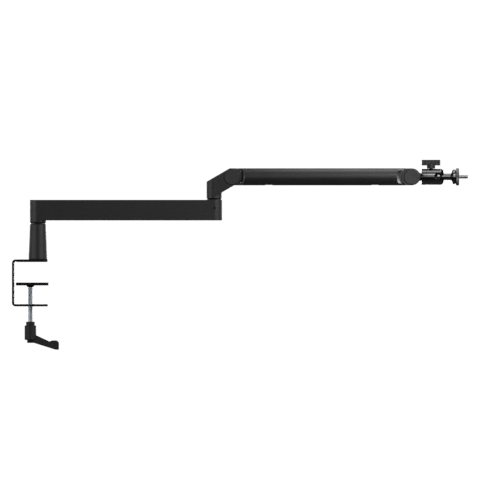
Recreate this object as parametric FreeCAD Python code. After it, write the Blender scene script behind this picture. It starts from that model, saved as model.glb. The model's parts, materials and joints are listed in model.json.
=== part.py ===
import FreeCAD, Part
import math
import os

# Desk-clamp microphone boom arm. Millimetres; X runs along the arms, Z is up and Y is
# across. The origin is on the riser axis, on the desk top under the upper clamp jaw.

V = FreeCAD.Vector
UP = V(0, 0, 1)
DOWN = V(0, 0, -1)
ALONG = V(1, 0, 0)
FRONT = V(0, -1, 0)
REAR = V(0, 1, 0)
full_turn = 360

# Fits used all over the arm
tiny = 0.001
run_gap = 0.05
face_gap = 0.1
free_gap = 0.4
cut_over = 1.0
edge_break = 0.6

# Metric and inch threads, as radii
m4 = 2.0
m5 = 2.5
m6 = 3.0
m8 = 4.0
quarter_inch = 3.175
three_eighths = 4.76

# Key recesses and nuts, as corner radii
hex_m4 = 1.45
hex_m5 = 2.3
hex_m6 = 2.9
hex_m8 = 3.5
nut_corner = 7.2

# Clamp frame, bent from one plate
plate = 3.6
clamp_width = 48.0
clamp_front = 16.85
clamp_back = -44.1
clamp_height = 80.2
bend = 6.0
clamp_corner = 8.0
pad_thick = 0.8
pad_inset = 1.5
nut_flange_radius = 7.5
nut_flange = 0.5
nut_shank_radius = 5.5
nut_tail = 0.3

# Clamp screw, swivel foot and ratchet lever
screw_x = -13.0
foot_back = -37.5
foot_front = 18.0
foot_width = 40.0
foot_corner = 6.0
throat = 35.2
foot_pad = 1.5
foot_plate = 3.4
cup_height = 3.0
cup_top_radius = 6.6
cup_low_radius = 4.6
swivel_radius = 5.0
swivel_height = 1.4
swivel_neck = 3.2
collar_radius = 7.5
collar_drop = 26.3
collar_height = 6.3
tooth_count = 16
tooth_tip = 6.6
tooth_root = 5.9
tooth_gap = 0.3
insert_teeth = 6.0
handle_teeth = 3.0
hub_radius = 10.0
hub_height = 24.9
hub_edge = 1.2
hub_web = 3.0
hub_chamber = 6.0
hub_web_hole = 3.0
tail_head_radius = 5.65
tail_head_drop = 17.5
tail_head_length = 12.4
hex_depth = 3.0
spring_wire = 0.6
spring_radius = 4.4
spring_turns = 4
lever_half = 6.0
lever_root_x = 3.0
lever_root_drop = 16.7
lever_root_under = 28.9
lever_notch_x = 33.0
lever_notch_drop = 27.6
lever_bump_x = 36.8
lever_bump_end = 45.5
lever_bump_drop = 25.6
lever_tip_x = 48.8
lever_tip_drop = 29.0
lever_tip_under = 42.0
lever_heel_x = 41.9
lever_heel_under = 41.1
lever_sweep = 8.0
lever_soft = 2.0

# Riser post and its bearing
riser_foot = 16.2
riser_top_radius = 13.9
riser_height = 60.2
riser_chamfer = 1.0
bush_radius = 9.0
spindle_radius = 6.0
spindle_end = 5.0
spindle_shank = 7.0
web_rise = 9.6
web_thick = 6.0
riser_pocket = 8.0
riser_screw_count = 3
riser_screw_circle = 12.0
riser_screw_length = 12.8
screw_head_m4 = 4.0
screw_head_height = 2.0
bush_long = 12.0
low_bush_rise = 2.0
groove_radius = 12.3
groove = 1.0
washer_bore = 6.3

# Lower arm
elbow_x = 301.2
neck_height = 5.35
arm_height = 35.15
arm_half = 13.9
arm_wall = 2.5
arm_roof = 3.0
arm_edge = 0.8
neck_chamfer = 2.0
channel_margin = 22.0
cover_thick = 2.0
cover_ledge = 1.2
cover_gap = 0.15
cover_clip_height = 8.0
cover_clip_length = 16.0
cover_clip_wall = 1.4
cover_clip_count = 4
cable_exit = 12.0
cable_exit_half = 4.5
base_spindle_rise = 24.0

# Elbow turning joint between the arms
elbow_radius = 13.2
elbow_recess = 6.0
elbow_web = 3.0
low_bush_share = 0.268
high_bush_share = 0.352
elbow_spindle_rise = 18.0
elbow_groove = 1.1
friction_pad_radius = 2.2
friction_pad_length = 2.2
tension_screw_depth = 2.0
retain_head = 5.0
retain_head_height = 3.6
retain_washer_radius = 7.4
retain_washer = 1.3
retain_thread = 14.0

# Tilting joints at both ends of the upper arm
neck_reach = 30.4
neck_rise = 38.2
upper_span = 307.6
neck_angle = 30
neck_half = 14.5
cheek_radius = 18.0
cheek_half = 13.5
fork_half = 7.0
tongue_half = 6.1
tongue_rise = 8.5
tongue_round = 9.0
tongue_room = 1.5
friction_washer = 0.8
bolt_head_radius = 6.5
bolt_head = 3.0
bolt_recess = 4.0
bolt_recess_radius = 7.5
cap_radius = 13.5
cap_thick = 1.2
cap_spigot = 0.8

# Upper arm tube
tube_radius = 14.6
tube_bore = 12.4
elbow_collar = 3.2
head_collar = 7.4
hollow_floor = 8.5
hollow_edge = 11.0
plug_start = 23.0
plug_length = 30.0
set_screw_first = 9.0
set_screw_step = 12.0
set_screw_count = 2
set_screw_length = 9.0
set_screw_sink = 0.6
slot_half = 7.0
slot_margin = 4.0

# Head knuckle and ball head
nose_radius = 14.4
boss_radius = 7.0
boss_reach = 15.8
ball_base_length = 8.9
ball_body_length = 30.0
ball_offset = 19.0
knob_offset = 8.0
ball_body = 13.65
ball_dome = 6.0
ball_base_edge = 1.0
ball_radius = 9.5
ball_gap = 0.1
ball_mouth = 8.0
notch_half = 6.15
stem_radius = 5.5
stem_length = 23.0
flare_length = 3.0
flange_length = 4.7
flange_radius = 12.4
flange_edge = 0.8
stud_grip = 11.7
stud_relief = 0.4
stud_reach = 21.3
stud_chamfer = 0.6
plunger_inset = 1.5
dimple_depth = 2.4
knob_stem_radius = 7.15
knob_stem_height = 5.45
knob_height = 9.6
knob_half_length = 15.85
knob_half_width = 5.5
knob_edge = 1.0
knob_screw_sink = 5.0
knob_tip = 1.6
disc_radius = 14.75
disc_length = 5.3
disc_washer = 0.7
disc_washer_radius = 11.5
head_stud_grip = 4.8
head_stud_reach = 8.0


def rounded_face(corners, upright):
    """A face in the XZ plane (upright) or the XY plane, with (a, b, radius) corners."""
    spots = [V(a, 0, b) if upright else V(a, b, 0) for a, b, _ in corners]
    ends = []
    for i, here in enumerate(spots):
        radius = corners[i][2]
        back = (spots[i - 1] - here).normalize()
        on = (spots[(i + 1) % len(spots)] - here).normalize()
        half = back.getAngle(on) / 2
        reach = radius / math.tan(half)
        middle = here + (back + on).normalize() * (radius / math.sin(half) - radius) if radius else here
        ends.append((here + back * reach, middle, here + on * reach))
    edges = []
    for i, (start, middle, end) in enumerate(ends):
        if corners[i][2]:
            edges.append(Part.Arc(start, middle, end).toShape())
        after = ends[(i + 1) % len(ends)][0]
        if not end.isEqual(after, tiny):
            edges.append(Part.makeLine(end, after))
    return Part.Face(Part.Wire(edges))


def slab(corners, low, high):
    """An XZ outline that reaches from low to high across the arm."""
    shape = rounded_face(corners, True).extrude(REAR * (high - low))
    return shape.translated(V(0, low, 0))


def plate_of(corners, low, high):
    """An XY outline that reaches from low to high in height."""
    shape = rounded_face(corners, False).extrude(UP * (high - low))
    return shape.translated(V(0, 0, low))


def rod(radius, start, axis, length):
    return Part.makeCylinder(radius, length, start, axis)


def ring(radius, bore, start, axis, length):
    hole = rod(bore, start - axis * cut_over, axis, length + 2 * cut_over)
    return rod(radius, start, axis, length).cut(hole)


def turned(profile, start, axis):
    """A solid of revolution from (distance along the axis, radius) points."""
    side = ALONG if axis.x == 0 else UP
    spots = [start + axis * along + side * radius for along, radius in profile]
    return Part.Face(Part.makePolygon(spots + spots[:1])).revolve(start, axis, full_turn)


def block(x0, x1, y0, y1, z0, z1):
    return Part.makeBox(x1 - x0, y1 - y0, z1 - z0, V(x0, y0, z0))


def joined(shapes):
    return shapes[0].multiFuse(list(shapes[1:])).removeSplitter()


def both_sides(make):
    """The front and the rear copy of a piece made for one side."""
    return Part.makeCompound([make(FRONT), make(REAR)])


def save(shape, node):
    shape.exportStep("parts/" + node + ".step")


# Heights and places that follow from the sizes above
clamp_top = pad_thick + plate
clamp_low = clamp_top - clamp_height
jaw_inside = clamp_low + plate
screw_axis = V(screw_x, 0, 0)
foot_top = -throat
foot_low = foot_top - foot_pad - foot_plate
cup_low = foot_low - cup_height
collar_top = clamp_low - collar_drop
collar_low = collar_top - collar_height
hub_top = collar_low - face_gap
hub_low = hub_top - hub_height
insert_low = hub_top - insert_teeth
handle_teeth_low = insert_low - face_gap
hub_web_low = handle_teeth_low - hub_web
insert_screw_top = (collar_low + insert_low) / 2
tail_head_top = hub_top - tail_head_drop
tail_head_end = tail_head_top - tail_head_length
web_low = clamp_top + web_rise
web_high = web_low + web_thick
riser_top = clamp_top + riser_height
arm_neck = riser_top + groove + face_gap
arm_bottom = arm_neck + neck_height
arm_top = arm_bottom + arm_height
arm_end = elbow_x + arm_half
channel_start = channel_margin
channel_end = elbow_x - channel_margin
base_spindle_top = arm_bottom + base_spindle_rise
elbow_axis = V(elbow_x, 0, 0)
elbow_web_low = arm_bottom + elbow_recess
elbow_web_high = elbow_web_low + elbow_web
elbow_low_bush = (arm_top - elbow_web_high) * low_bush_share
elbow_high_bush = (arm_top - elbow_web_high) * high_bush_share
tension_z = (elbow_web_high + elbow_low_bush + arm_top - elbow_high_bush) / 2
elbow_low = arm_top + elbow_groove + face_gap
hinge_x = elbow_x + neck_reach
hinge_z = elbow_low + neck_rise
head_x = hinge_x + upper_span
hinge = V(hinge_x, 0, hinge_z)
head_hinge = V(head_x, 0, hinge_z)
tube_cut = cheek_radius + free_gap
boss_end = head_x + boss_reach
ball_base_x = boss_end + face_gap
ball_base_end = ball_base_x + ball_base_length
ball_body_end = ball_base_end + ball_body_length
ball_x = ball_base_end + ball_offset
ball_centre = V(ball_x, 0, hinge_z)
knob_x = ball_base_end + knob_offset
knob_low = hinge_z + ball_body + free_gap + knob_stem_height
flare_start = ball_x + stem_length
flare_end = flare_start + flare_length
flange_end = flare_end + flange_length
disc_start = flange_end + disc_washer + 2 * face_gap
stud_shank = quarter_inch - stud_relief


def riser_spots():
    step = 2 * math.pi / riser_screw_count
    return [V(riser_screw_circle * math.cos(i * step), riser_screw_circle * math.sin(i * step), 0)
            for i in range(riser_screw_count)]


def countersunk(room):
    """An M4 countersunk screw standing on its head, or its hole when room is given."""
    thread = m4 + room
    length = riser_screw_length + room
    return turned([(-room, 0), (-room, screw_head_m4 + room), (0, screw_head_m4 + room),
                   (screw_head_height, thread), (length, thread), (length, 0)], V(0, 0, pad_thick), UP)


def clamp_frame():
    half = clamp_width / 2
    inner = bend - plate
    back_face = clamp_back + plate
    profile = [(clamp_front, clamp_top, 0), (clamp_back, clamp_top, bend), (clamp_back, clamp_low, bend),
               (clamp_front, clamp_low, 0), (clamp_front, jaw_inside, 0), (back_face, jaw_inside, inner),
               (back_face, pad_thick, inner), (clamp_front, pad_thick, 0)]
    plan = [(clamp_back - cut_over, -half, 0), (clamp_front, -half, clamp_corner),
            (clamp_front, half, clamp_corner), (clamp_back - cut_over, half, 0)]
    shape = slab(profile, -half, half)
    shape = shape.common(plate_of(plan, clamp_low - cut_over, clamp_top + cut_over))
    holes = [countersunk(run_gap).translated(spot) for spot in riser_spots()]
    holes.append(rod(nut_shank_radius, screw_axis + UP * (clamp_low - cut_over), UP, plate + 2 * cut_over))
    return shape.cut(holes)


def top_jaw_pad():
    half = clamp_width / 2 - pad_inset
    back = clamp_back + bend + pad_inset
    corner = clamp_corner - pad_inset
    front = clamp_front - pad_inset
    return plate_of([(back, -half, corner), (front, -half, corner), (front, half, corner),
                     (back, half, corner)], 0, pad_thick)


def clamp_nut():
    low = clamp_low - nut_tail
    shank = rod(nut_shank_radius, screw_axis + UP * low, UP, plate + nut_tail)
    flange = rod(nut_flange_radius, screw_axis + UP * jaw_inside, UP, nut_flange)
    bore = rod(m8 + run_gap, screw_axis + UP * (low - cut_over), UP, clamp_height)
    return joined([shank, flange]).cut(bore)


def riser_post():
    body = turned([(0, 0), (0, riser_foot - riser_chamfer), (riser_chamfer, riser_foot),
                   (riser_height - edge_break, riser_top_radius), (riser_height, riser_top_radius - edge_break),
                   (riser_height, 0)], UP * clamp_top, UP)
    cuts = [rod(bush_radius, UP * web_high, UP, riser_height),
            rod(spindle_end + run_gap, V(0, 0, 0), UP, web_high + cut_over),
            rod(riser_pocket, V(0, 0, 0), UP, web_low)]
    cuts += [countersunk(run_gap).translated(spot) for spot in riser_spots()]
    return body.cut(cuts)


def bush(axis_spot, low, length):
    return ring(bush_radius, spindle_radius + run_gap, axis_spot + UP * low, UP, length)


def pressure_plate(low, thick):
    half = foot_width / 2
    return plate_of([(foot_back, -half, foot_corner), (foot_front, -half, foot_corner),
                     (foot_front, half, foot_corner), (foot_back, half, foot_corner)], low, low + thick)


def swivel_cup():
    outside = turned([(0, 0), (0, cup_low_radius), (cup_height, cup_top_radius), (cup_height, 0)],
                     screw_axis + UP * cup_low, UP)
    room = swivel_height + 2 * face_gap
    cavity = rod(swivel_radius + run_gap, screw_axis + UP * (foot_low - room), UP, room)
    mouth = rod(swivel_neck + run_gap, screw_axis + UP * (cup_low - cut_over), UP, cup_height)
    return outside.cut([cavity, mouth])


def clamp_screw():
    head_top = foot_low - face_gap
    head = rod(swivel_radius, screw_axis + UP * head_top, DOWN, swivel_height)
    thread_top = cup_low - free_gap
    neck = rod(swivel_neck, screw_axis + UP * head_top, DOWN, head_top - thread_top + cut_over)
    thread = rod(m8, screw_axis + UP * thread_top, DOWN, thread_top - insert_screw_top)
    return joined([head, neck, thread])


def toothed(tip, root, low, height):
    """A ring of pointed ratchet teeth round the clamp screw, as a solid star."""
    step = math.pi / tooth_count
    spots = []
    for i in range(2 * tooth_count):
        radius = root if i % 2 else tip
        spots.append(screw_axis + V(radius * math.cos(i * step), radius * math.sin(i * step), low))
    return Part.Face(Part.makePolygon(spots + spots[:1])).extrude(UP * height)


def ratchet_insert():
    collar = rod(collar_radius, screw_axis + UP * collar_low, UP, collar_height)
    teeth = toothed(tooth_tip, tooth_root, insert_low, collar_low - insert_low)
    bore = rod(m8, screw_axis + UP * insert_screw_top, UP, collar_top - insert_screw_top + cut_over)
    tapped = rod(m5 + run_gap, screw_axis + UP * (insert_low - cut_over), UP,
                 insert_screw_top - insert_low + cut_over)
    return joined([collar, teeth]).cut([bore, tapped])


def lever_retaining_screw():
    thread = rod(m5, screw_axis + UP * tail_head_top, UP, insert_screw_top - face_gap - tail_head_top)
    head = rod(tail_head_radius, screw_axis + UP * tail_head_end, UP, tail_head_top - tail_head_end)
    key = hexagon(hex_m5, screw_axis + UP * tail_head_end, UP, hex_depth)
    return joined([thread, head]).cut(key)


def hexagon(radius, start, axis, length):
    """A six-sided bar, such as a nut or a key recess, with the given corner radius."""
    side = ALONG if axis.x == 0 else UP
    other = axis.cross(side)
    sides = 6
    step = 2 * math.pi / sides
    spots = [start + side * (radius * math.cos(i * step)) + other * (radius * math.sin(i * step))
             for i in range(sides)]
    return Part.Face(Part.makePolygon(spots + spots[:1])).extrude(axis * length)


def lever_handle():
    hub = turned([(0, 0), (0, hub_radius - hub_edge), (hub_edge, hub_radius),
                  (hub_height, hub_radius), (hub_height, 0)], screw_axis + UP * hub_low, UP)
    outline = [(0, hub_edge - lever_root_drop, 0), (hub_radius, -lever_root_drop, 0),
               (lever_notch_x, -lever_notch_drop, lever_soft), (lever_bump_x, -lever_bump_drop, lever_soft),
               (lever_bump_end, -lever_bump_drop, lever_soft), (lever_tip_x, -lever_tip_drop, lever_soft / 2),
               (lever_tip_x, -lever_tip_under, lever_soft), (lever_heel_x, -lever_heel_under, lever_sweep),
               (lever_root_x, -lever_root_under, 0), (lever_root_x, -hub_height, 0), (0, -hub_height, 0)]
    blade = slab(outline, -lever_half, lever_half).translated(screw_axis + UP * hub_top)
    body = joined([hub, blade])
    room = tooth_tip + free_gap
    teeth_top = handle_teeth_low + handle_teeth
    cuts = [rod(room, screw_axis + UP * teeth_top, UP, hub_height),
            toothed(tooth_tip + tooth_gap, tooth_root + tooth_gap, handle_teeth_low, handle_teeth),
            rod(hub_web_hole, screw_axis + UP * (hub_web_low - cut_over), UP, hub_height / 2),
            rod(hub_chamber, screw_axis + UP * hub_web_low, DOWN, hub_height + hub_radius)]
    return body.cut(cuts)


def lever_spring():
    top = hub_web_low - face_gap - spring_wire
    low = tail_head_top + face_gap + spring_wire
    path = Part.makeHelix((top - low) / spring_turns, top - low, spring_radius)
    near, far = spring_radius - spring_wire, spring_radius + spring_wire
    section = Part.makePolygon([V(near, 0, -spring_wire), V(far, 0, -spring_wire), V(far, 0, spring_wire),
                                V(near, 0, spring_wire), V(near, 0, -spring_wire)])
    coil = Part.Wire(path.Edges).makePipeShell([section], True, True)
    return coil.translated(screw_axis + UP * low)


def spindle(axis_spot, low, shoulder, neck, top):
    """A stepped pivot: a reduced end in the web, a bearing length and a pressed-in shank."""
    body = turned([(low, 0), (low, spindle_end), (shoulder, spindle_end), (shoulder, spindle_radius),
                   (neck, spindle_radius), (neck, spindle_shank), (top, spindle_shank), (top, 0)],
                  axis_spot, UP)
    return body.cut(rod(m6 + run_gap, axis_spot + UP * (low - cut_over), UP, retain_thread + 2 * cut_over))


def retaining_washer(axis_spot, top):
    return ring(retain_washer_radius, m6 + run_gap, axis_spot + UP * top, DOWN, retain_washer)


def retaining_screw(axis_spot, top):
    seat = top - retain_washer
    thread = rod(m6, axis_spot + UP * seat, UP, retain_thread)
    head = rod(retain_head, axis_spot + UP * seat, DOWN, retain_head_height)
    key = hexagon(hex_m6, axis_spot + UP * (seat - retain_head_height), UP, hex_depth)
    return joined([thread, head]).cut(key)


def arm_plan(start, end, half, corner):
    return [(start, -half, corner), (end, -half, corner), (end, half, corner), (start, half, corner)]


def lower_arm_body():
    plan = arm_plan(-arm_half, arm_end, arm_half, arm_half)
    bar = plate_of(plan, arm_bottom, arm_top)
    rims = [edge for edge in bar.Edges if edge.BoundBox.ZLength < tiny]
    bar = bar.makeFillet(arm_edge, rims)
    height = arm_bottom - arm_neck
    collar = turned([(0, 0), (0, arm_half - neck_chamfer), (neck_chamfer, arm_half),
                     (height + arm_edge, arm_half), (height + arm_edge, 0)], UP * arm_neck, UP)
    half = arm_half - arm_wall
    below = arm_bottom - cut_over
    web_hole = spindle_end + run_gap
    front = V(elbow_x, -arm_half - cut_over, tension_z)
    cuts = [block(channel_start, channel_end, -half, half, below, arm_top - arm_roof),
            block(channel_start - cover_ledge, channel_end + cover_ledge, -half - cover_ledge,
                  half + cover_ledge, below, arm_bottom + cover_thick),
            rod(spindle_shank, UP * (arm_neck - cut_over), UP, base_spindle_top - arm_neck + cut_over),
            rod(bush_radius, elbow_axis + UP * elbow_web_high, UP, arm_top),
            rod(web_hole, elbow_axis + UP * below, UP, arm_top - below),
            rod(riser_pocket, elbow_axis + UP * below, UP, elbow_web_low - below),
            rod(m5 + run_gap, front, REAR, arm_half + cut_over)]
    return joined([bar, collar]).cut(cuts)


def lower_cable_cover():
    half = arm_half - arm_wall
    side = half + cover_ledge - cover_gap
    start = channel_start - cover_ledge + cover_gap
    end = channel_end + cover_ledge - cover_gap
    top = arm_bottom + cover_thick
    shape = block(start, end, -side, side, arm_bottom, top)
    for x0, x1 in ((start - cut_over, channel_start + cable_exit), (channel_end - cable_exit, end + cut_over)):
        notch = [(x0, -cable_exit_half, 0), (x1, -cable_exit_half, 0), (x1, cable_exit_half, 0),
                 (x0, cable_exit_half, 0)]
        shape = shape.cut(plate_of(notch, arm_bottom - cut_over, top + cut_over))
    clips = []
    step = (channel_end - channel_start) / cover_clip_count
    outer = half - cover_gap
    inner = outer - cover_clip_wall
    for i in range(cover_clip_count):
        middle = channel_start + step / 2 + i * step
        for y0, y1 in ((-outer, -inner), (inner, outer)):
            clips.append(block(middle - cover_clip_length / 2, middle + cover_clip_length / 2, y0, y1,
                               arm_bottom, top + cover_clip_height))
    return joined([shape] + clips)


def friction_pad():
    start = V(elbow_x, -spindle_radius - face_gap, tension_z)
    return rod(friction_pad_radius, start, FRONT, friction_pad_length)


def tension_screw():
    start = V(elbow_x, -arm_half + tension_screw_depth, tension_z)
    length = arm_half - tension_screw_depth - spindle_radius - face_gap - friction_pad_length
    return rod(m5, start, REAR, length).cut(hexagon(hex_m4, start, REAR, length / 2))


def fork_slot(centre, reach_back, reach_up):
    """The room between the cheeks of a fork, with a round end about its hinge."""
    half = fork_half
    start = centre - REAR * half
    shapes = [rod(tongue_round + tongue_room, start, REAR, 2 * half)]
    for x0, x1, z0, z1 in (reach_back, reach_up):
        shapes.append(block(x0, x1, -half, half, z0, z1))
    return joined(shapes)


def bolt_room(centre):
    """The bolt hole through a fork with a round recess in each cheek."""
    hole = rod(m8 + run_gap, centre - REAR * tube_radius, REAR, 2 * tube_radius)
    recesses = [rod(bolt_recess_radius, centre + side * (cheek_half - bolt_recess), side, bolt_recess + cut_over)
                for side in (FRONT, REAR)]
    return [hole] + recesses


def elbow_knuckle():
    turn = math.radians(neck_angle)
    slope = math.tan(turn)
    across = V(-math.sin(turn), 0, math.cos(turn)) * neck_half
    high = hinge + across
    low = hinge - across
    left = elbow_x - elbow_radius - cut_over
    right = elbow_x + elbow_radius + cut_over

    def at(spot, x):
        return spot.z + (x - spot.x) * slope

    post = turned([(0, 0), (0, elbow_radius - neck_chamfer), (neck_chamfer, elbow_radius),
                   (cheek_radius * 3, elbow_radius), (cheek_radius * 3, 0)], elbow_axis + UP * elbow_low, UP)
    under = slab([(left, elbow_low, 0), (right, elbow_low, 0), (right, at(high, right), 0),
                  (left, at(high, left), 0)], -cheek_half - cut_over, cheek_half + cut_over)
    top = hinge_z + neck_half
    bottom = hinge_z - neck_half
    top_x = high.x + (top - high.z) / slope
    bottom_x = low.x + (bottom - low.z) / slope
    neck = slab([(elbow_x, at(low, elbow_x), 0), (bottom_x, bottom, 0), (bottom_x, top, 0), (top_x, top, 0),
                 (elbow_x, at(high, elbow_x), 0)], -cheek_half, cheek_half)
    end = rod(cheek_radius, hinge - REAR * cheek_half, REAR, 2 * cheek_half)
    far = hinge_x + tube_radius * 2
    end = end.common(block(hinge_x, far, -tube_radius, tube_radius, bottom, top))
    body = joined([post.common(under), neck, end])
    slot = fork_slot(hinge, (hinge_x, far, hinge_z - tube_radius * 2, hinge_z + tube_radius * 2),
                     (hinge_x - tongue_round, far, hinge_z, hinge_z + tube_radius * 2))
    socket = rod(spindle_shank, elbow_axis + UP * (elbow_low - cut_over), UP, elbow_spindle_rise + cut_over)
    return body.cut([slot, socket] + bolt_room(hinge))


def hinge_bolt(centre):
    head_low = cheek_half - bolt_recess
    head = rod(bolt_head_radius, centre + FRONT * head_low, FRONT, bolt_head)
    shank = rod(m8, centre + FRONT * head_low, REAR, head_low * 2 + bolt_head)
    key = hexagon(hex_m8, centre + FRONT * (head_low + bolt_head), REAR, bolt_head / 2)
    return joined([head, shank]).cut(key)


def hinge_nut(centre):
    seat = centre + REAR * (cheek_half - bolt_recess)
    bore = rod(m8 + run_gap, seat - REAR * cut_over, REAR, bolt_recess + cut_over)
    return hexagon(nut_corner, seat, REAR, bolt_head).cut(bore)


def friction_washers(centre):
    gap = (fork_half - tongue_half - friction_washer) / 2
    return both_sides(lambda side: ring(tongue_rise, m8 + run_gap, centre + side * (tongue_half + gap), side,
                                        friction_washer))


def hinge_cap(centre, side):
    disc = turned([(0, 0), (0, cap_radius), (cap_thick - edge_break, cap_radius),
                   (cap_thick, cap_radius - edge_break), (cap_thick, 0)], centre + side * cheek_half, side)
    spigot = rod(bolt_recess_radius - run_gap, centre + side * (cheek_half - cap_spigot), side,
                 cap_spigot + cap_thick / 2)
    return joined([disc, spigot])


def hinge_round(radius, centre):
    """A round about a hinge, wider than the tube."""
    return rod(radius, centre - REAR * tube_radius * 2, REAR, tube_radius * 4)


def set_screws(radius, sink, length):
    """The set screws through the rear of the tube that hold both inserts, or their holes."""
    shapes = []
    for centre, way in ((hinge, ALONG), (head_hinge, -ALONG)):
        for i in range(set_screw_count):
            reach = plug_start + set_screw_first + i * set_screw_step
            spot = centre + way * reach + REAR * (tube_radius - sink)
            shapes.append(rod(radius, spot, FRONT, length))
    return shapes


def cable_slot(half, margin):
    start = hinge_x + plug_start + plug_length + margin
    end = head_x - plug_start - plug_length - margin
    return block(start, end, -half, half, hinge_z - tube_radius - cut_over, hinge_z)


def upper_arm_tube():
    tube = ring(tube_radius, tube_bore, hinge, ALONG, head_x - hinge_x)
    ends = [hinge_round(tube_cut + elbow_collar, hinge), hinge_round(tube_cut + head_collar, head_hinge)]
    holes = set_screws(m4 + run_gap, -cut_over, set_screw_length)
    return tube.cut([cable_slot(slot_half, slot_margin)] + ends + holes)


def upper_cable_cover():
    half = slot_half - cover_gap
    wall = ring(tube_radius, tube_bore, hinge, ALONG, head_x - hinge_x)
    strip = wall.common(cable_slot(half, slot_margin + cover_gap))
    start = strip.BoundBox.XMin
    end = strip.BoundBox.XMax
    step = (end - start) / cover_clip_count
    low = hinge_z - math.sqrt(tube_radius ** 2 - half ** 2)
    clips = []
    for i in range(cover_clip_count):
        middle = start + step / 2 + i * step
        for y0, y1 in ((-half, -half + cover_clip_wall), (half - cover_clip_wall, half)):
            clips.append(block(middle - cover_clip_length / 2, middle + cover_clip_length / 2, y0, y1, low,
                               low + cover_clip_height))
    exits = [block(x0, x1, -cable_exit_half, cable_exit_half, hinge_z - tube_radius - cut_over, hinge_z)
             for x0, x1 in ((start - cut_over, start + cable_exit), (end - cable_exit, end + cut_over))]
    return joined([strip] + clips).cut(exits)


def arm_insert(centre, way, collar):
    """A plug in the tube end with a collar hollowed at both sides and the tongue that reaches into a fork."""
    outer = tube_cut + collar
    length = plug_start + plug_length
    rim = rod(tube_radius, centre, way, length).common(hinge_round(outer - face_gap, centre))
    plug = joined([rim, rod(tube_bore - run_gap, centre, way, length)])
    far = tube_radius * 2
    hollow = [(hollow_floor, 0), (hollow_floor, tube_cut), (hollow_edge, outer), (far, outer), (far, 0)]
    hollows = [turned(hollow, centre, side) for side in (FRONT, REAR)]
    plug = plug.cut([hinge_round(tube_cut, centre)] + hollows)
    reach = way.x * (plug_start + plug_length / 2)
    x0, x1 = sorted((centre.x, centre.x + reach))
    tongue = block(x0, x1, -tongue_half, tongue_half, hinge_z - tongue_rise, hinge_z + tongue_rise)
    eye = rod(tongue_round, centre - REAR * tongue_half, REAR, 2 * tongue_half)
    hole = rod(m8 + run_gap, centre - REAR * tube_radius, REAR, 2 * tube_radius)
    holes = set_screws(m4 + run_gap, -cut_over, set_screw_length + cut_over + set_screw_sink)
    return joined([plug, tongue, eye]).cut([hole] + holes)


def head_knuckle():
    start = head_hinge - REAR * cheek_half
    nose = rod(nose_radius, start, REAR, 2 * cheek_half)
    back = rod(cheek_radius, start, REAR, 2 * cheek_half)
    back = back.common(block(head_x - tube_radius * 2, head_x, -tube_radius, tube_radius,
                             hinge_z - nose_radius, hinge_z + nose_radius))
    web = head_x + tongue_round + tongue_room
    boss = rod(boss_radius, V(web, 0, hinge_z), ALONG, boss_end - web)
    body = joined([nose, back, boss])
    span = tube_radius * 2
    slot = fork_slot(head_hinge, (head_x - span, head_x + tongue_round, hinge_z, hinge_z + span),
                     (head_x - span, head_x + tongue_round, hinge_z - span, hinge_z))
    socket = rod(three_eighths, head_hinge, ALONG, span)
    return body.cut([slot, socket] + bolt_room(head_hinge))


def head_stud():
    return rod(three_eighths, V(boss_end - head_stud_grip, 0, hinge_z), ALONG, head_stud_grip + head_stud_reach)


def ball_base():
    length = ball_base_length
    start = V(ball_base_x, 0, hinge_z)
    body = turned([(0, 0), (0, ball_body - ball_base_edge), (ball_base_edge, ball_body), (length, ball_body),
                   (length, 0)], start, ALONG)
    return body.cut(rod(three_eighths + run_gap, start - ALONG * cut_over, ALONG, length + 2 * cut_over))


def ball_housing():
    start = V(ball_base_end, 0, hinge_z)
    body = rod(ball_body, start, ALONG, ball_body_length)
    rim = [edge for edge in body.Edges if edge.BoundBox.XMin > ball_body_end - tiny]
    body = body.makeFillet(ball_dome, rim)
    room = ball_radius + ball_gap
    below = ball_centre - REAR * (ball_body + cut_over)
    cuts = [rod(room, start - ALONG * cut_over, ALONG, ball_x - ball_base_end + cut_over),
            Part.makeSphere(room, ball_centre),
            rod(ball_mouth, ball_centre, ALONG, ball_body_end),
            rod(notch_half, below, REAR, ball_body + cut_over),
            block(ball_x, ball_body_end + cut_over, -ball_body - cut_over, 0, hinge_z - notch_half,
                  hinge_z + notch_half),
            rod(m6 + run_gap, V(knob_x, 0, hinge_z), UP, ball_body + cut_over)]
    return body.cut(cuts)


def ball_plunger():
    start = ball_base_end + plunger_inset
    end = ball_x - stem_radius - free_gap
    body = rod(ball_radius, V(start, 0, hinge_z), ALONG, end - start)
    dimple = rod(m6 + free_gap, V(knob_x, 0, hinge_z + ball_radius - dimple_depth), UP, ball_radius)
    return body.cut([Part.makeSphere(ball_radius + ball_gap, ball_centre), dimple])


def ball_knob():
    corner = knob_half_width - knob_edge
    bar = plate_of(arm_plan(knob_x - knob_half_length, knob_x + knob_half_length, knob_half_width, corner),
                   knob_low, knob_low + knob_height)
    rims = [edge for edge in bar.Edges if edge.BoundBox.ZLength < tiny]
    bar = bar.makeFillet(knob_edge, rims)
    stem = rod(knob_stem_radius, V(knob_x, 0, knob_low - knob_stem_height), UP, knob_stem_height + knob_edge * 2)
    return joined([bar, stem]).cut(rod(m6, V(knob_x, 0, hinge_z), UP, knob_low + knob_screw_sink - hinge_z))


def knob_screw():
    tip = hinge_z + ball_radius - dimple_depth + face_gap
    top = knob_low + knob_screw_sink
    return turned([(tip, 0), (tip, m6 - knob_tip), (tip + knob_tip, m6), (top, m6), (top, 0)],
                  V(knob_x, 0, 0), UP)


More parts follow.
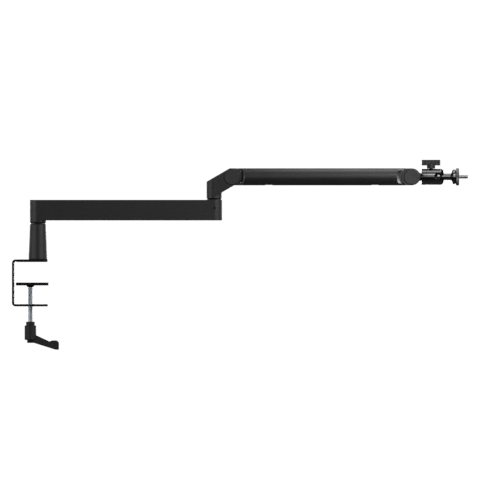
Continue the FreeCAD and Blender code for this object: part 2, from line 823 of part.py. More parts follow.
def ball_stud():
    ball = Part.makeSphere(ball_radius, ball_centre)
    stem = turned([(0, 0), (0, stem_radius), (flare_start - ball_x, stem_radius),
                   (flare_end - ball_x, flange_radius), (flange_end - flange_edge - ball_x, flange_radius),
                   (flange_end - ball_x, flange_radius - flange_edge), (flange_end - ball_x, 0)],
                  ball_centre, ALONG)
    return joined([ball, stem]).cut(rod(stud_shank, V(flange_end - stud_grip, 0, hinge_z), ALONG, stud_reach))


def stud_screw():
    length = stud_grip + stud_reach
    start = flange_end - stud_grip
    free = disc_start + disc_length + free_gap - start
    return turned([(0, 0), (0, stud_shank), (free, stud_shank), (free, quarter_inch),
                   (length - stud_chamfer, quarter_inch), (length, quarter_inch - stud_chamfer), (length, 0)],
                  V(start, 0, hinge_z), ALONG)


def lock_disc():
    start = V(disc_start, 0, hinge_z)
    length = disc_length
    body = turned([(0, 0), (0, disc_radius - edge_break), (edge_break, disc_radius),
                   (length - edge_break, disc_radius), (length, disc_radius - edge_break), (length, 0)],
                  start, ALONG)
    return body.cut(rod(quarter_inch + run_gap, start - ALONG * cut_over, ALONG, length + 2 * cut_over))


def lock_disc_washer():
    return ring(disc_washer_radius, quarter_inch + run_gap, V(flange_end + face_gap, 0, hinge_z), ALONG,
                disc_washer)


os.makedirs("parts", exist_ok=True)
base_end = web_low - face_gap
elbow_end = elbow_web_low - face_gap
low_bush = bush(V(0, 0, 0), web_high + low_bush_rise, bush_long)
high_bush = bush(V(0, 0, 0), riser_top - bush_long, bush_long)
save(clamp_frame(), "clamp_frame")
save(top_jaw_pad(), "top_jaw_pad")
save(clamp_nut(), "clamp_nut")
save(riser_post(), "riser_post")
save(Part.makeCompound([low_bush, high_bush]), "riser_bushes")
save(Part.makeCompound([countersunk(0).translated(spot) for spot in riser_spots()]), "riser_screws")
save(ring(groove_radius, washer_bore, UP * riser_top, UP, groove), "riser_washer")
save(pressure_plate(foot_low, foot_plate), "pressure_plate")
save(pressure_plate(foot_top - foot_pad, foot_pad), "pressure_pad")
save(swivel_cup(), "swivel_cup")
save(clamp_screw(), "clamp_screw")
save(ratchet_insert(), "ratchet_insert")
save(lever_retaining_screw(), "lever_retaining_screw")
save(lever_handle(), "lever_handle")
save(lever_spring(), "lever_spring")
save(lower_arm_body(), "lower_arm_body")
save(lower_cable_cover(), "lower_cable_cover")
save(spindle(V(0, 0, 0), base_end, web_high + face_gap, arm_neck, base_spindle_top), "base_spindle")
save(retaining_washer(V(0, 0, 0), base_end), "base_spindle_washer")
save(retaining_screw(V(0, 0, 0), base_end), "base_spindle_screw")
save(Part.makeCompound([bush(elbow_axis, elbow_web_high, elbow_low_bush),
                        bush(elbow_axis, arm_top - elbow_high_bush, elbow_high_bush)]), "elbow_bushes")
save(ring(groove_radius, washer_bore, elbow_axis + UP * arm_top, UP, elbow_groove), "elbow_washer")
save(friction_pad(), "elbow_friction_pad")
save(tension_screw(), "elbow_tension_screw")
save(elbow_knuckle(), "elbow_knuckle")
save(spindle(elbow_axis, elbow_end, elbow_web_high + face_gap, elbow_low, elbow_low + elbow_spindle_rise),
     "elbow_spindle")
save(retaining_washer(elbow_axis, elbow_end), "elbow_spindle_washer")
save(retaining_screw(elbow_axis, elbow_end), "elbow_spindle_screw")
save(upper_arm_tube(), "upper_arm_tube")
save(upper_cable_cover(), "upper_cable_cover")
save(arm_insert(hinge, ALONG, elbow_collar), "elbow_insert")
save(arm_insert(head_hinge, -ALONG, head_collar), "head_insert")
save(Part.makeCompound(set_screws(m4, set_screw_sink, set_screw_length)), "insert_screws")
save(head_knuckle(), "head_knuckle")
for centre, name in ((hinge, "elbow"), (head_hinge, "head")):
    save(hinge_bolt(centre), name + "_hinge_bolt")
    save(hinge_nut(centre), name + "_hinge_nut")
    save(friction_washers(centre), name + "_friction_washers")
    save(hinge_cap(centre, FRONT), name + "_cap_front")
    save(hinge_cap(centre, REAR), name + "_cap_rear")
save(head_stud(), "head_stud")
save(ball_base(), "ball_base")
save(ball_housing(), "ball_housing")
save(ball_plunger(), "ball_plunger")
save(ball_knob(), "ball_knob")
save(knob_screw(), "knob_screw")
save(ball_stud(), "ball_stud")
save(stud_screw(), "stud_screw")
save(lock_disc(), "lock_disc")
save(lock_disc_washer(), "lock_disc_washer")
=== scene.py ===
import json
import math

import bpy
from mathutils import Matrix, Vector


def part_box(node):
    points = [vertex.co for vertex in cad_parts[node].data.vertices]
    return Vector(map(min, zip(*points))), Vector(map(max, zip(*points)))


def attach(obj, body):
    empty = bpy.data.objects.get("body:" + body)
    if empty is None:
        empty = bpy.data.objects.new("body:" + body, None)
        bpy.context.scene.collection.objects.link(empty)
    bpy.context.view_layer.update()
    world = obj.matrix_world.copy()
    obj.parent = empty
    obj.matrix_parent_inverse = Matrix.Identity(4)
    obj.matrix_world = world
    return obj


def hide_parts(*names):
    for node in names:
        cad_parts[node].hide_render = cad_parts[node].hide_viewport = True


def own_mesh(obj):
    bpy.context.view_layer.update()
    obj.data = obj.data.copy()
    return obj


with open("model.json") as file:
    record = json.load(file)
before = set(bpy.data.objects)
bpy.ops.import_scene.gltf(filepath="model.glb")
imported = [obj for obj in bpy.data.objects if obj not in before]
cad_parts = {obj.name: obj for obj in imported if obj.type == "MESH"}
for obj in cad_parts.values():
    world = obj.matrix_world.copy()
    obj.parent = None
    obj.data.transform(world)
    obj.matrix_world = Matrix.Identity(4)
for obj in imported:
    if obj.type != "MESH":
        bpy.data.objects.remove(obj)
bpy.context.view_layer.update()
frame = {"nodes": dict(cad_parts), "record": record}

# Metres: X along the arms, Y across, Z up from the desk top
mm = 0.001
UP = Vector((0.0, 0.0, 1.0))
DOWN = -UP
ALONG = Vector((1.0, 0.0, 0.0))
FRONT = Vector((0.0, -1.0, 0.0))
REAR = -FRONT
BOTH_SIDES = (FRONT, REAR)

# The photograph: its centre on the object and the width that it takes in
photo_centre = Vector((0.3454, 0.0, 0.0376))
photo_width = 0.8208
lens_mm = 800.0
sensor_mm = 36.0
camera_reach = 100.0

# From the frame: joint axes, and each node's finish and body
record = frame["record"]
joint_spots = {joint["name"]: Vector(joint["pos_m"])
               for joint in record["behaviour"]["joints"] if "pos_m" in joint}
elbow_hinge = joint_spots["arm_tilt"]
head_hinge = joint_spots["head_tilt"]
ball_centre = joint_spots["ball_tilt"]
screw_axis = joint_spots["clamp_screw_turn"]
elbow_axis = ALONG * joint_spots["elbow_swivel"].x
slot_of = {part["node"]: part["material_slot"] for part in record["subparts"]}
body_of = {node: body for body, nodes in record["behaviour"]["bodies"].items() for node in nodes}


# Finishes

# Patterns, in repeats per metre, and the width of worn edges
tone_scale, smudge_scale, wear_scale = 34.0, 48.0, 210.0
wear_width, wear_samples = 0.35 * mm, 6
grain_in_gloss, smudges_in_gloss = 0.6, 0.4
dark_share, pale_share, line_share = 0.85, 1.15, 0.6
relief_strength = 0.2


def new_group(name, inputs, outputs):
    """An empty shader group with named sockets, its input node and its output node."""
    group = bpy.data.node_groups.new(name, "ShaderNodeTree")
    for label, kind in inputs:
        group.interface.new_socket(label, in_out="INPUT", socket_type=kind)
    for label, kind in outputs:
        group.interface.new_socket(label, in_out="OUTPUT", socket_type=kind)
    return group, group.nodes.new("NodeGroupInput"), group.nodes.new("NodeGroupOutput")


def add_noise(group, place, scale, detail, roughness=0.5):
    noise = group.nodes.new("ShaderNodeTexNoise")
    noise.inputs["Detail"].default_value = detail
    noise.inputs["Roughness"].default_value = roughness
    group.links.new(place, noise.inputs["Vector"])
    if isinstance(scale, float):
        noise.inputs["Scale"].default_value = scale
    else:
        group.links.new(scale, noise.inputs["Scale"])
    return noise.outputs["Fac"]


def add_range(group, value, low, high, to_low=0.0, to_high=1.0):
    span = group.nodes.new("ShaderNodeMapRange")
    span.inputs["From Min"].default_value = low
    span.inputs["From Max"].default_value = high
    span.inputs["To Min"].default_value = to_low
    span.inputs["To Max"].default_value = to_high
    group.links.new(value, span.inputs["Value"])
    return span.outputs["Result"]


def add_math(group, operation, first, second):
    """One step of arithmetic on two values; either may be a number or a socket."""
    node = group.nodes.new("ShaderNodeMath")
    node.operation = operation
    for socket, value in zip(node.inputs, (first, second)):
        if isinstance(value, float):
            socket.default_value = value
        else:
            group.links.new(value, socket)
    return node.outputs["Value"]


def build_grain_group():
    """The fine relief of a coat, slow changes in its tone, and gloss with faint finger smudges."""
    group, source, result = new_group(
        "coat_grain",
        [("Place", "NodeSocketVector"), ("Grains per metre", "NodeSocketFloat")],
        [("Relief", "NodeSocketFloat"), ("Tone", "NodeSocketFloat"), ("Gloss", "NodeSocketFloat")])
    place, grains = source.outputs["Place"], source.outputs["Grains per metre"]
    relief = add_noise(group, place, grains, detail=3.0, roughness=0.55)
    tone = add_noise(group, place, tone_scale, detail=4.0)
    fine = add_noise(group, place, grains, detail=1.0)
    smears = add_noise(group, place, smudge_scale, detail=5.0, roughness=0.6)
    smudges = add_range(group, smears, low=0.5, high=0.72)
    gloss = add_math(group, "ADD", add_math(group, "MULTIPLY", fine, grain_in_gloss),
                     add_math(group, "MULTIPLY", smudges, smudges_in_gloss))
    group.links.new(relief, result.inputs["Relief"])
    group.links.new(tone, result.inputs["Tone"])
    group.links.new(gloss, result.inputs["Gloss"])
    return group


def build_wear_group():
    """A broken line along outer edges, where hands and bags have rubbed the coat."""
    group, source, result = new_group(
        "worn_edges",
        [("Place", "NodeSocketVector"), ("Amount", "NodeSocketFloat")],
        [("Mask", "NodeSocketFloat")])
    rounded = group.nodes.new("ShaderNodeBevel")
    rounded.samples = wear_samples
    rounded.inputs["Radius"].default_value = wear_width
    surface = group.nodes.new("ShaderNodeNewGeometry")
    turn = group.nodes.new("ShaderNodeVectorMath")
    turn.operation = "DOT_PRODUCT"
    group.links.new(rounded.outputs["Normal"], turn.inputs[0])
    group.links.new(surface.outputs["Normal"], turn.inputs[1])
    edge = add_range(group, turn.outputs["Value"], low=0.985, high=0.93)
    patches = add_noise(group, source.outputs["Place"], wear_scale, detail=4.0)
    breaks = add_range(group, patches, low=0.46, high=0.66)
    worn = add_math(group, "MULTIPLY", edge, breaks)
    mask = add_math(group, "MULTIPLY", worn, source.outputs["Amount"])
    group.links.new(mask, result.inputs["Mask"])
    return group


def build_drawn_group():
    """Fine lines drawn along one axis by a die or a polishing belt."""
    group, source, result = new_group(
        "drawn_lines", [("Place", "NodeSocketVector"), ("Stretch", "NodeSocketVector")],
        [("Lines", "NodeSocketFloat")])
    stretched = group.nodes.new("ShaderNodeVectorMath")
    stretched.operation = "MULTIPLY"
    group.links.new(source.outputs["Place"], stretched.inputs[0])
    group.links.new(source.outputs["Stretch"], stretched.inputs[1])
    lines = add_noise(group, stretched.outputs["Vector"], 1.0, detail=3.0, roughness=0.6)
    group.links.new(lines, result.inputs["Lines"])
    return group


grain_group = build_grain_group()
wear_group = build_wear_group()
drawn_group = build_drawn_group()


def add_group(tree, group, place, label, value):
    """A group in a material's tree, at a place on the object and with one value set."""
    node = tree.nodes.new("ShaderNodeGroup")
    node.node_tree = group
    node.inputs[label].default_value = value
    tree.links.new(place, node.inputs["Place"])
    return node


def add_mix(tree, factor, first, second):
    """A colour between two; either may be a colour or a socket."""
    mix = tree.nodes.new("ShaderNodeMix")
    mix.data_type = "RGBA"
    tree.links.new(factor, mix.inputs["Factor"])
    for name, value in (("A", first), ("B", second)):
        if isinstance(value, tuple):
            mix.inputs[name].default_value = (*value, 1.0)
        else:
            tree.links.new(value, mix.inputs[name])
    return mix.outputs["Result"]


def shade_of(colour, share):
    return tuple(share * part for part in colour)


def finish(name, colour, worn, roughness, spread, grains, depth, wear=0.5, metallic=0.0,
           specular=0.5, stretch=None):
    """A coat, metal or moulding: grain, slow tone changes, uneven gloss and rubbed edges."""
    material = bpy.data.materials.new(name)
    material.use_nodes = True
    tree = material.node_tree
    shader = tree.nodes["Principled BSDF"]
    shader.inputs["Metallic"].default_value = metallic
    shader.inputs["Specular IOR Level"].default_value = specular
    place = tree.nodes.new("ShaderNodeTexCoord").outputs["Object"]
    grain = add_group(tree, grain_group, place, "Grains per metre", grains)
    rubbed = add_group(tree, wear_group, place, "Amount", wear)
    tone = add_mix(tree, grain.outputs["Tone"],
                   shade_of(colour, dark_share), shade_of(colour, pale_share))
    relief = grain.outputs["Relief"]
    if stretch:
        drawn = add_group(tree, drawn_group, place, "Stretch", stretch)
        relief = add_math(tree, "ADD", relief, drawn.outputs["Lines"])
        tone = add_mix(tree, drawn.outputs["Lines"], shade_of(colour, line_share), tone)
    coloured = add_mix(tree, rubbed.outputs["Mask"], tone, worn)
    tree.links.new(coloured, shader.inputs["Base Color"])
    gloss = add_range(tree, grain.outputs["Gloss"], low=0.15, high=0.75,
                      to_low=roughness + spread, to_high=roughness - spread)
    tree.links.new(gloss, shader.inputs["Roughness"])
    bump = tree.nodes.new("ShaderNodeBump")
    bump.inputs["Strength"].default_value = relief_strength
    bump.inputs["Distance"].default_value = depth
    tree.links.new(relief, bump.inputs["Height"])
    tree.links.new(bump.outputs["Normal"], shader.inputs["Normal"])
    return material


grey_edge = (0.03, 0.03, 0.03)
steel_edge = (0.3, 0.3, 0.31)
gloss_black = (0.002, 0.002, 0.0022)
matte_black = (0.004, 0.004, 0.004)
turned_lines = (60.0, 60.0, 5000.0)
finishes = {
    "frame_black": finish(
        "satin_coat", (0.004, 0.004, 0.0042), grey_edge, roughness=0.42, spread=0.05,
        grains=2600.0, depth=0.05 * mm, specular=0.12, wear=0.06),
    "arm_black": finish(
        "powder_coat", (0.0135, 0.0132, 0.0133), grey_edge, roughness=0.36, spread=0.05,
        grains=2200.0, depth=0.1 * mm, specular=0.3),
    "cap_black": finish(
        "cap_moulding", (0.0175, 0.0172, 0.0174), grey_edge, roughness=0.42, spread=0.05,
        grains=3000.0, depth=0.07 * mm, specular=0.3),
    "cover_black": finish(
        "cover_moulding", (0.02, 0.02, 0.0204), grey_edge, roughness=0.55, spread=0.06,
        grains=3200.0, depth=0.1 * mm, specular=0.2),
    "rubber_black": finish(
        "pad_rubber", matte_black, (0.014, 0.014, 0.014), roughness=0.85, spread=0.08,
        grains=1500.0, depth=0.2 * mm, specular=0.1, wear=0.2),
    "zinc_steel": finish(
        "zinc_plate", (0.55, 0.62, 0.68), (0.68, 0.73, 0.78), roughness=0.28, spread=0.05,
        grains=1400.0, depth=0.01 * mm, metallic=1.0, stretch=turned_lines),
    "dark_steel": finish(
        "black_oxide", (0.012, 0.012, 0.0125), steel_edge, roughness=0.42, spread=0.07,
        grains=1800.0, depth=0.03 * mm, metallic=0.9),
    "insert_steel": finish(
        "collar_oxide", (0.014, 0.014, 0.0145), steel_edge, roughness=0.34, spread=0.05,
        grains=1800.0, depth=0.03 * mm, metallic=0.5, specular=0.3, wear=0.3),
    "lever_black": finish(
        "lever_moulding", (0.018, 0.018, 0.018), grey_edge, roughness=0.42, spread=0.05,
        grains=2600.0, depth=0.12 * mm, specular=0.2),
    "bearing_polymer": finish(
        "bearing_polymer", matte_black, (0.015, 0.015, 0.015), roughness=0.6, spread=0.05,
        grains=1600.0, depth=0.03 * mm, specular=0.2),
    "insert_alloy": finish(
        "anodised_alloy", (0.068, 0.067, 0.068), steel_edge, roughness=0.26, spread=0.05,
        grains=2400.0, depth=0.03 * mm, metallic=1.0),
    "ball_black": finish(
        "gloss_anodised", gloss_black, (0.1, 0.1, 0.1), roughness=0.08, spread=0.03,
        grains=900.0, depth=0.004 * mm, specular=0.75, wear=0.3),
    "plunger_polymer": finish(
        "plunger_polymer", (0.6, 0.6, 0.58), (0.7, 0.7, 0.68), roughness=0.45, spread=0.05,
        grains=1500.0, depth=0.03 * mm),
    "knob_black": finish(
        "knob_moulding", (0.008, 0.008, 0.008), grey_edge, roughness=0.42, spread=0.05,
        grains=3000.0, depth=0.08 * mm, specular=0.25),
    "stud_black": finish(
        "gloss_black", gloss_black, (0.15, 0.15, 0.15), roughness=0.08, spread=0.03,
        grains=900.0, depth=0.004 * mm, specular=0.75, wear=0.3),
    "thread_steel": finish(
        "thread_plate", (0.25, 0.25, 0.25), steel_edge, roughness=0.36, spread=0.06,
        grains=1500.0, depth=0.02 * mm, metallic=0.9),
    "disc_bronze": finish(
        "bronze_anodised", (0.06, 0.058, 0.057), (0.3, 0.28, 0.26), roughness=0.4, spread=0.06,
        grains=1800.0, depth=0.03 * mm, metallic=0.6),
}

for node, obj in frame["nodes"].items():
    obj.data.materials.clear()
    obj.data.materials.append(finishes[slot_of[node]])


# Modelling by hand

tiny, merge_gap, thread_gap = 0.01 * mm, 0.002 * mm, 0.0001 * mm
over = 1.0 * mm  # how far a tool passes the face that it cuts or joins
sharp_angle, smooth_angle = 38, 40

# Steps around a turn, from small holes to the widest rounds
least_steps, small_steps, bar_steps, turned_steps = 32, 48, 64, 96
fine_steps, arm_steps, most_steps = 128, 160, 192


def alone(obj):
    """Makes one object the only selected and active one."""
    bpy.ops.object.select_all(action="DESELECT")
    obj.select_set(True)
    bpy.context.view_layer.objects.active = obj


def settle():
    """Brings the selected object's place, turn and scale into its mesh."""
    bpy.ops.object.transform_apply(location=True, rotation=True, scale=True)


def merge_points():
    bpy.ops.mesh.select_all(action="SELECT")
    bpy.ops.mesh.remove_doubles(threshold=merge_gap)


def close_up():
    """Merges doubled points, turns all faces outwards and leaves edit mode."""
    merge_points()
    bpy.ops.mesh.normals_make_consistent(inside=False)
    bpy.ops.object.mode_set(mode="OBJECT")


def closed(points):
    """The points of a line that comes back to its start."""
    return points + points[:1]


def solid(profile):
    """A turned profile that starts and ends on its axis."""
    return [(profile[0][0], 0.0)] + profile + [(profile[-1][0], 0.0)]


def rising(along, radius, size, mid):
    """Three profile points that round the corner where a face meets the round after it."""
    return [(along, radius - size), (along + mid, radius - mid), (along + size, radius)]


def falling(along, radius, size, mid):
    """Three profile points that round the corner where a round meets the face after it."""
    return [(along - size, radius), (along - mid, radius - mid), (along, radius - size)]


def sweep(first, last, count):
    """Even steps from one angle to another."""
    return [first + (last - first) * i / count for i in range(count + 1)]


def draw_chain(name, points):
    """Edges drawn by extruding one vertex from place to place; stays in edit mode."""
    bpy.ops.object.select_all(action="DESELECT")
    bpy.ops.mesh.primitive_plane_add(size=mm, location=points[0])
    chain = bpy.context.active_object
    chain.name = name
    settle()
    bpy.ops.object.mode_set(mode="EDIT")
    bpy.ops.mesh.select_mode(type="VERT")
    bpy.ops.mesh.select_all(action="SELECT")
    bpy.ops.mesh.merge(type="CENTER")
    for here, there in zip(points, points[1:]):
        bpy.ops.mesh.extrude_region_move(TRANSFORM_OT_translate={"value": there - here})
    return chain


def lathe(name, profile, centre, axis, steps=turned_steps):
    """A turned piece from (distance along the axis, radius) points."""
    side = UP if axis.x else ALONG
    piece = draw_chain(name, [centre + axis * along + side * radius for along, radius in profile])
    bpy.ops.mesh.select_all(action="SELECT")
    bpy.ops.mesh.spin(steps=steps, angle=2 * math.pi, center=centre, axis=axis)
    close_up()
    return piece


def bar(name, radius, start, axis, length, steps=bar_steps):
    """A plain round bar, used to cut holes and to weld pieces up."""
    return lathe(name, solid([(0.0, radius), (length, radius)]), start, axis, steps)


def prism(name, corners, reach):
    """A flat outline through the corners, filled and pulled out by reach."""
    piece = draw_chain(name, closed(corners))
    merge_points()
    bpy.ops.mesh.edge_face_add()
    bpy.ops.mesh.extrude_region_move(TRANSFORM_OT_translate={"value": reach})
    close_up()
    return piece


def block(name, low, high, height):
    """An upright box on the plan between two corners."""
    plan = [(low.x, low.y), (high.x, low.y), (high.x, high.y), (low.x, high.y)]
    return prism(name, [Vector((x, y, low.z)) for x, y in plan], UP * height)


def upright(a, b):
    return abs(a.z - b.z) > tiny


def round_edges(piece, width, wanted, segments=8):
    """Rounds the edges whose two ends are wanted."""
    alone(piece)
    bpy.ops.object.mode_set(mode="EDIT")
    bpy.ops.mesh.select_mode(type="EDGE")
    bpy.ops.mesh.select_all(action="DESELECT")
    bpy.ops.object.mode_set(mode="OBJECT")
    points = piece.data.vertices
    for edge in piece.data.edges:
        edge.select = wanted(points[edge.vertices[0]].co, points[edge.vertices[1]].co)
    bpy.ops.object.mode_set(mode="EDIT")
    bpy.ops.mesh.bevel(offset=width, segments=segments, affect="EDGES")
    bpy.ops.object.mode_set(mode="OBJECT")


def slice_off(piece, spot, normal, outer):
    """Cuts a piece along a plane and drops its outer or its inner side."""
    alone(piece)
    bpy.ops.object.mode_set(mode="EDIT")
    bpy.ops.mesh.select_all(action="SELECT")
    bpy.ops.mesh.bisect(plane_co=spot, plane_no=normal, use_fill=True,
                        clear_inner=not outer, clear_outer=outer)
    close_up()


def apply_modifier(piece, modifier):
    alone(piece)
    bpy.ops.object.modifier_apply(modifier=modifier.name)


def combine(piece, tool, how):
    """Joins, cuts or crosses the piece with a tool, and uses the tool up."""
    step = piece.modifiers.new("combine", "BOOLEAN")
    step.operation = how
    step.solver = "EXACT"
    step.object = tool
    apply_modifier(piece, step)
    bpy.data.objects.remove(tool)
    bpy.ops.object.mode_set(mode="EDIT")
    merge_points()
    bpy.ops.mesh.dissolve_degenerate(threshold=merge_gap)
    bpy.ops.object.mode_set(mode="OBJECT")


def cut_away(piece, *tools):
    """Takes the tools' shapes out of the piece."""
    for tool in tools:
        combine(piece, tool, "DIFFERENCE")


def weld_on(piece, *others):
    """Makes one closed body of the piece and the others."""
    for other in others:
        combine(piece, other, "UNION")


def soften(piece, width, segments=2, sharper_than=sharp_angle):
    """Rounds every sharp edge a little."""
    step = piece.modifiers.new("soft_edges", "BEVEL")
    step.width = width
    step.segments = segments
    step.limit_method = "ANGLE"
    step.angle_limit = math.radians(sharper_than)
    step.use_clamp_overlap = False
    apply_modifier(piece, step)


def shade(piece):
    """Smooth over soft edges and round faces, and level on the broad flat ones."""
    alone(piece)
    bpy.ops.object.shade_smooth_by_angle(angle=math.radians(smooth_angle))
    level = piece.modifiers.new("level_faces", "WEIGHTED_NORMAL")
    level.keep_sharp = True
    apply_modifier(piece, level)


def stands_for(piece, node):
    """Smooths a finished piece, gives it its node's finish and body, and hides the node."""
    shade(piece)
    piece.data.materials.clear()
    piece.data.materials.append(finishes[slot_of[node]])
    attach(piece, body_of[node])
    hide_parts(node)


def thread(name, outer, root, pitch, start, axis, length):
    """A threaded rod with flat ends: one turn of its profile, wound up along its axis."""
    foot, crest, steps, spare_turns = 0.14, 0.44, 40, 2
    turn = [(0.0, root), (foot, root), (crest, outer), (1 - crest, outer), (1 - foot, root),
            (1.0, root)]
    rod = draw_chain(name, [Vector((radius, 0.0, (share - 1) * pitch)) for share, radius in turn])
    bpy.ops.object.mode_set(mode="OBJECT")
    helix = rod.modifiers.new("helix", "SCREW")
    helix.axis = "Z"
    helix.screw_offset = pitch
    helix.iterations = math.ceil(length / pitch) + spare_turns
    helix.steps = steps
    helix.render_steps = steps
    apply_modifier(rod, helix)
    bpy.ops.object.mode_set(mode="EDIT")
    merge_points()
    for height, cut_below in ((0.0, True), (length, False)):
        bpy.ops.mesh.select_all(action="SELECT")
        bpy.ops.mesh.bisect(plane_co=UP * height, plane_no=UP, use_fill=True, threshold=thread_gap,
                            clear_inner=cut_below, clear_outer=not cut_below)
    close_up()
    rod.rotation_euler = axis.to_track_quat("Z", "Y").to_euler()
    rod.location = start
    alone(rod)
    settle()
    return rod


# Desk clamp

def on_screw(height):
    """A point on the clamp screw's axis."""
    return Vector((screw_axis.x, 0.0, height))


def flat_plate(node, corner, edge):
    """A plate with rounded corners and soft edges in the place of its node."""
    low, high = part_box(node)
    piece = block(node + "_formed", low, high, high.z - low.z)
    round_edges(piece, corner, upright)
    soften(piece, edge)
    stands_for(piece, node)


def bent_frame():
    """A thick strip bent to a C, with the nut's hole in its lower jaw."""
    plate, bend, corner, edge, nut_shank = 3.6 * mm, 6.0 * mm, 8.0 * mm, 0.5 * mm, 5.5 * mm
    low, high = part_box("clamp_frame")
    back, floor, roof = low.x + plate, low.z + plate, high.z - plate
    outline = [(high.x, high.z), (low.x, high.z), (low.x, low.z), (high.x, low.z),
               (high.x, floor), (back, floor), (back, roof), (high.x, roof)]
    piece = prism("clamp_frame_bent", [Vector((x, low.y, z)) for x, z in outline],
                  REAR * (high.y - low.y))

    def across_at(x):
        return lambda a, b: (abs(a.y - b.y) > plate
                             and abs(a.x - x) < tiny and abs(b.x - x) < tiny)

    round_edges(piece, bend, across_at(low.x))
    round_edges(piece, bend - plate, across_at(back))
    round_edges(piece, corner, lambda a, b: upright(a, b) and min(a.x, b.x) > high.x - tiny)
    cut_away(piece, bar("nut_hole", nut_shank, on_screw(low.z - plate), UP, 3 * plate))
    soften(piece, edge)
    stands_for(piece, "clamp_frame")


def swivel_cup():
    """A cup that flares up to its rim, with a room for the screw's swivel head."""
    foot, mouth, room, room_depth = 4.6 * mm, 3.3 * mm, 5.1 * mm, 1.6 * mm
    rim_height, edge = 0.8 * mm, 0.3 * mm
    low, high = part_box("swivel_cup")
    height, rim = high.z - low.z, (high.x - low.x) / 2
    shelf = height - room_depth
    profile = closed([(0.0, mouth), (0.0, foot), (height - rim_height, rim), (height, rim),
                      (height, room), (shelf, room), (shelf, mouth)])
    piece = lathe("swivel_cup_turned", profile, on_screw(low.z), UP)
    soften(piece, edge)
    stands_for(piece, "swivel_cup")


def clamp_screw():
    """An M8 screw with a necked swivel head at its top."""
    outer, pitch, thread_depth, plain_end = 4.0 * mm, 1.25 * mm, 0.65 * mm, 3.3 * mm
    head, head_height, neck, neck_end = 5.0 * mm, 1.4 * mm, 3.2 * mm, 4.0 * mm
    low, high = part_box("clamp_screw")
    thread_top = high.z - plain_end
    piece = thread("clamp_screw_threaded", outer, outer - thread_depth, pitch,
                   on_screw(low.z), UP, thread_top - low.z)
    profile = solid([(0.0, head), (head_height, head), (head_height, neck), (neck_end, neck)])
    weld_on(piece, lathe("swivel_head", profile, on_screw(high.z), DOWN, small_steps))
    stands_for(piece, "clamp_screw")


def clamping_lever():
    """A round hub with a blade that kicks up to a thumb rest at its tip."""
    hub, hub_height, top_break, foot_break = 10.0 * mm, 24.9 * mm, 0.6 * mm, 1.2 * mm
    insert_room, teeth_depth, chamber, web_depth = 7.0 * mm, 6.1 * mm, 6.0 * mm, 9.1 * mm
    half, blade_edge = 6.0 * mm, 1.4 * mm
    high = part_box("lever_handle")[1]
    reach = high.x - screw_axis.x
    top = on_screw(high.z)
    profile = solid([(0.0, hub - top_break), (top_break, hub), (hub_height - foot_break, hub),
                     (hub_height, hub - foot_break)])
    piece = lathe("lever_handle_moulded", profile, top, DOWN)
    # The blade's outline, in mm along from the axis and down from the hub's top
    outline = [(0.0, 15.5), (10.0, 16.7), (31.4, 26.8), (32.6, 27.2), (33.6, 27.1), (36.0, 26.0),
               (37.4, 25.6), (44.7, 25.6), (46.3, 26.3), (48.4, 28.6), (48.8, 29.5), (48.8, 40.4),
               (48.0, 41.6), (46.9, 41.7), (41.9, 41.1), (3.0, 28.9), (3.0, 24.9), (0.0, 24.9)]
    start = top + FRONT * half
    corners = [start + ALONG * min(x * mm, reach) + DOWN * z * mm for x, z in outline]
    blade = prism("lever_blade", corners, REAR * 2 * half)
    soften(blade, blade_edge, segments=4, sharper_than=50)
    weld_on(piece, blade)
    cut_away(piece, bar("insert_room", insert_room, top + UP * over, DOWN, teeth_depth + over),
             bar("spring_room", chamber, top + DOWN * web_depth, DOWN, 2 * hub_height),
             bar("screw_hole", chamber / 2, top, DOWN, hub_height))
    stands_for(piece, "lever_handle")


def lever_spring():
    """The coil inside the hub, copied from its node's mesh; it keeps its length as the lever is
    pulled down.
    """
    drawn = frame["nodes"]["lever_spring"]
    coil = bpy.data.objects.new("lever_spring_coiled", drawn.data.copy())
    bpy.context.scene.collection.objects.link(coil)
    coil.matrix_world = drawn.matrix_world
    alone(coil)
    settle()
    bpy.ops.object.mode_set(mode="EDIT")
    close_up()
    stands_for(coil, "lever_spring")
    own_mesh(coil)


bent_frame()
flat_plate("top_jaw_pad", corner=6.5 * mm, edge=0.25 * mm)
flat_plate("pressure_plate", corner=6.0 * mm, edge=0.5 * mm)
flat_plate("pressure_pad", corner=6.0 * mm, edge=0.4 * mm)
swivel_cup()
clamp_screw()
clamping_lever()
lever_spring()


# Riser and lower arm

def riser_post():
    """A tapered post with a bore for its bearings."""
    top, bore = 13.9 * mm, 9.1 * mm
    low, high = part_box("riser_post")
    height, foot = high.z - low.z, high.x
    profile = closed([(0.0, bore)] + rising(0.0, foot, size=1.0 * mm, mid=0.3 * mm)
                     + falling(height, top, size=0.6 * mm, mid=0.2 * mm) + [(height, bore)])
    stands_for(lathe("riser_post_turned", profile, UP * low.z, UP, fine_steps), "riser_post")


def round_ended(name, low_x, high_x, half, base, height):
    """A long block with half-round ends, standing on the height base."""
    end_flat, end_segments = 0.02 * mm, 40
    piece = block(name, Vector((low_x, -half, base)), Vector((high_x, half, base)), height)
    round_edges(piece, half - end_flat, upright, end_segments)
    return piece


